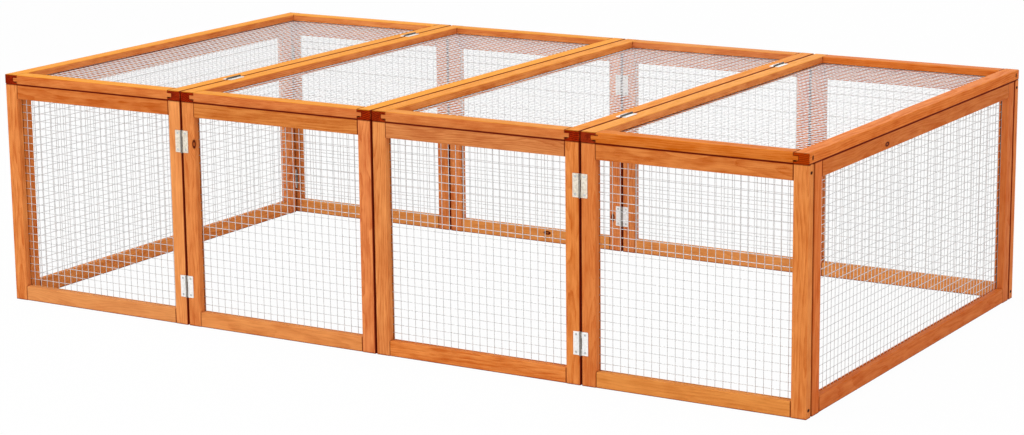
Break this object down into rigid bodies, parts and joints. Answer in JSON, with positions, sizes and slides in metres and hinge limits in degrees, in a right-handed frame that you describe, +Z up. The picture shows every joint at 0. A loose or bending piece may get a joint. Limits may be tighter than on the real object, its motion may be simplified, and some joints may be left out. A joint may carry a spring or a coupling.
{
  "type": "outdoor rabbit run",
  "caption": "Rectangular outdoor run for rabbits: framed wire mesh walls hinged to fold flat, open underneath, with a mesh roof of hinged panels resting on top.",
  "frame": {"origin": "on the ground at the middle of the run's length and width, with the walls standing on z = 0", "axes": "+X along the run's length to the right, -Y towards the front wall, +Z up"},
  "size_m": [1.81, 1.0084, 0.4796],
  "materials": {
    "stained_softwood": "satin orange stain",
    "galvanised_wire": "dull galvanised",
    "zinc_hardware": "bright zinc plate"
  },
  "bodies": {
    "left_end": {"left_end_stiles": "stained_softwood", "left_end_rails": "stained_softwood", "left_end_mesh": "galvanised_wire", "left_end_hardware": "zinc_hardware"},
    "right_end": {"right_end_stiles": "stained_softwood", "right_end_rails": "stained_softwood", "right_end_mesh": "galvanised_wire", "right_end_hardware": "zinc_hardware"},
    "front_1": {"front_1_stiles": "stained_softwood", "front_1_rails": "stained_softwood", "front_1_mesh": "galvanised_wire", "front_1_hardware": "zinc_hardware"},
    "front_2": {"front_2_stiles": "stained_softwood", "front_2_rails": "stained_softwood", "front_2_mesh": "galvanised_wire", "front_2_hardware": "zinc_hardware"},
    "front_3": {"front_3_stiles": "stained_softwood", "front_3_rails": "stained_softwood", "front_3_mesh": "galvanised_wire", "front_3_hardware": "zinc_hardware"},
    "front_4": {"front_4_stiles": "stained_softwood", "front_4_rails": "stained_softwood", "front_4_mesh": "galvanised_wire", "front_4_hardware": "zinc_hardware"},
    "back_1": {"back_1_stiles": "stained_softwood", "back_1_rails": "stained_softwood", "back_1_mesh": "galvanised_wire", "back_1_hardware": "zinc_hardware"},
    "back_2": {"back_2_stiles": "stained_softwood", "back_2_rails": "stained_softwood", "back_2_mesh": "galvanised_wire", "back_2_hardware": "zinc_hardware"},
    "back_3": {"back_3_stiles": "stained_softwood", "back_3_rails": "stained_softwood", "back_3_mesh": "galvanised_wire", "back_3_hardware": "zinc_hardware"},
    "back_4": {"back_4_stiles": "stained_softwood", "back_4_rails": "stained_softwood", "back_4_mesh": "galvanised_wire", "back_4_hardware": "zinc_hardware"},
    "roof_1": {"roof_1_stiles": "stained_softwood", "roof_1_rails": "stained_softwood", "roof_1_mesh": "galvanised_wire", "roof_1_hardware": "zinc_hardware"},
    "roof_2": {"roof_2_stiles": "stained_softwood", "roof_2_rails": "stained_softwood", "roof_2_mesh": "galvanised_wire", "roof_2_hardware": "zinc_hardware"},
    "roof_3": {"roof_3_stiles": "stained_softwood", "roof_3_rails": "stained_softwood", "roof_3_mesh": "galvanised_wire", "roof_3_hardware": "zinc_hardware"},
    "roof_4": {"roof_4_stiles": "stained_softwood", "roof_4_rails": "stained_softwood", "roof_4_mesh": "galvanised_wire", "roof_4_hardware": "zinc_hardware"}
  },
  "joints": [
    {"name": "fold", "type": "hinge", "parent": "left_end", "child": "front_1", "pos_m": [-0.883, -0.4778, 0], "axis": [0, 0, 1], "range_deg": [0, 90]},
    {"name": "front_fold_1_2", "type": "hinge", "parent": "front_1", "child": "front_2", "pos_m": [-0.4525, -0.5022, 0], "axis": [0, 0, 1], "range_deg": [-180, 0]},
    {"name": "front_fold_2_3", "type": "hinge", "parent": "front_2", "child": "front_3", "pos_m": [0, -0.4778, 0], "axis": [0, 0, 1], "range_deg": [0, 180]},
    {"name": "front_fold_3_4", "type": "hinge", "parent": "front_3", "child": "front_4", "pos_m": [0.4525, -0.5022, 0], "axis": [0, 0, 1], "range_deg": [-180, 0]},
    {"name": "right_front_corner", "type": "hinge", "parent": "front_4", "child": "right_end", "pos_m": [0.883, -0.4778, 0], "axis": [0, 0, 1], "range_deg": [0, 90]},
    {"name": "left_back_corner", "type": "hinge", "parent": "left_end", "child": "back_1", "pos_m": [-0.883, 0.4778, 0], "axis": [0, 0, 1], "range_deg": [-90, 0]},
    {"name": "back_fold_1_2", "type": "hinge", "parent": "back_1", "child": "back_2", "pos_m": [-0.4525, 0.5022, 0], "axis": [0, 0, 1], "range_deg": [0, 180]},
    {"name": "back_fold_2_3", "type": "hinge", "parent": "back_2", "child": "back_3", "pos_m": [0, 0.4778, 0], "axis": [0, 0, 1], "range_deg": [-180, 0]},
    {"name": "back_fold_3_4", "type": "hinge", "parent": "back_3", "child": "back_4", "pos_m": [0.4525, 0.5022, 0], "axis": [0, 0, 1], "range_deg": [0, 180]},
    {"name": "roof_left_lift", "type": "slide", "parent": "left_end", "child": "roof_2", "axis": [0, 0, 1], "range_m": [0, 0.4]},
    {"name": "left_lid", "type": "hinge", "parent": "roof_2", "child": "roof_1", "pos_m": [-0.4525, 0, 0.4776], "axis": [0, 1, 0], "range_deg": [0, 180]},
    {"name": "roof_right_lift", "type": "slide", "parent": "left_end", "child": "roof_3", "axis": [0, 0, 1], "range_m": [0, 0.4]},
    {"name": "right_lid", "type": "hinge", "parent": "roof_3", "child": "roof_4", "pos_m": [0.4525, 0, 0.4776], "axis": [0, -1, 0], "range_deg": [0, 180]}
  ],
  "couplings": [
    {"joint": "front_fold_1_2", "follows": "fold", "ratio": -2},
    {"joint": "front_fold_2_3", "follows": "fold", "ratio": 2},
    {"joint": "front_fold_3_4", "follows": "fold", "ratio": -2},
    {"joint": "right_front_corner", "follows": "fold", "ratio": 1},
    {"joint": "left_back_corner", "follows": "fold", "ratio": -1},
    {"joint": "back_fold_1_2", "follows": "fold", "ratio": 2},
    {"joint": "back_fold_2_3", "follows": "fold", "ratio": -2},
    {"joint": "back_fold_3_4", "follows": "fold", "ratio": 2}
  ]
}
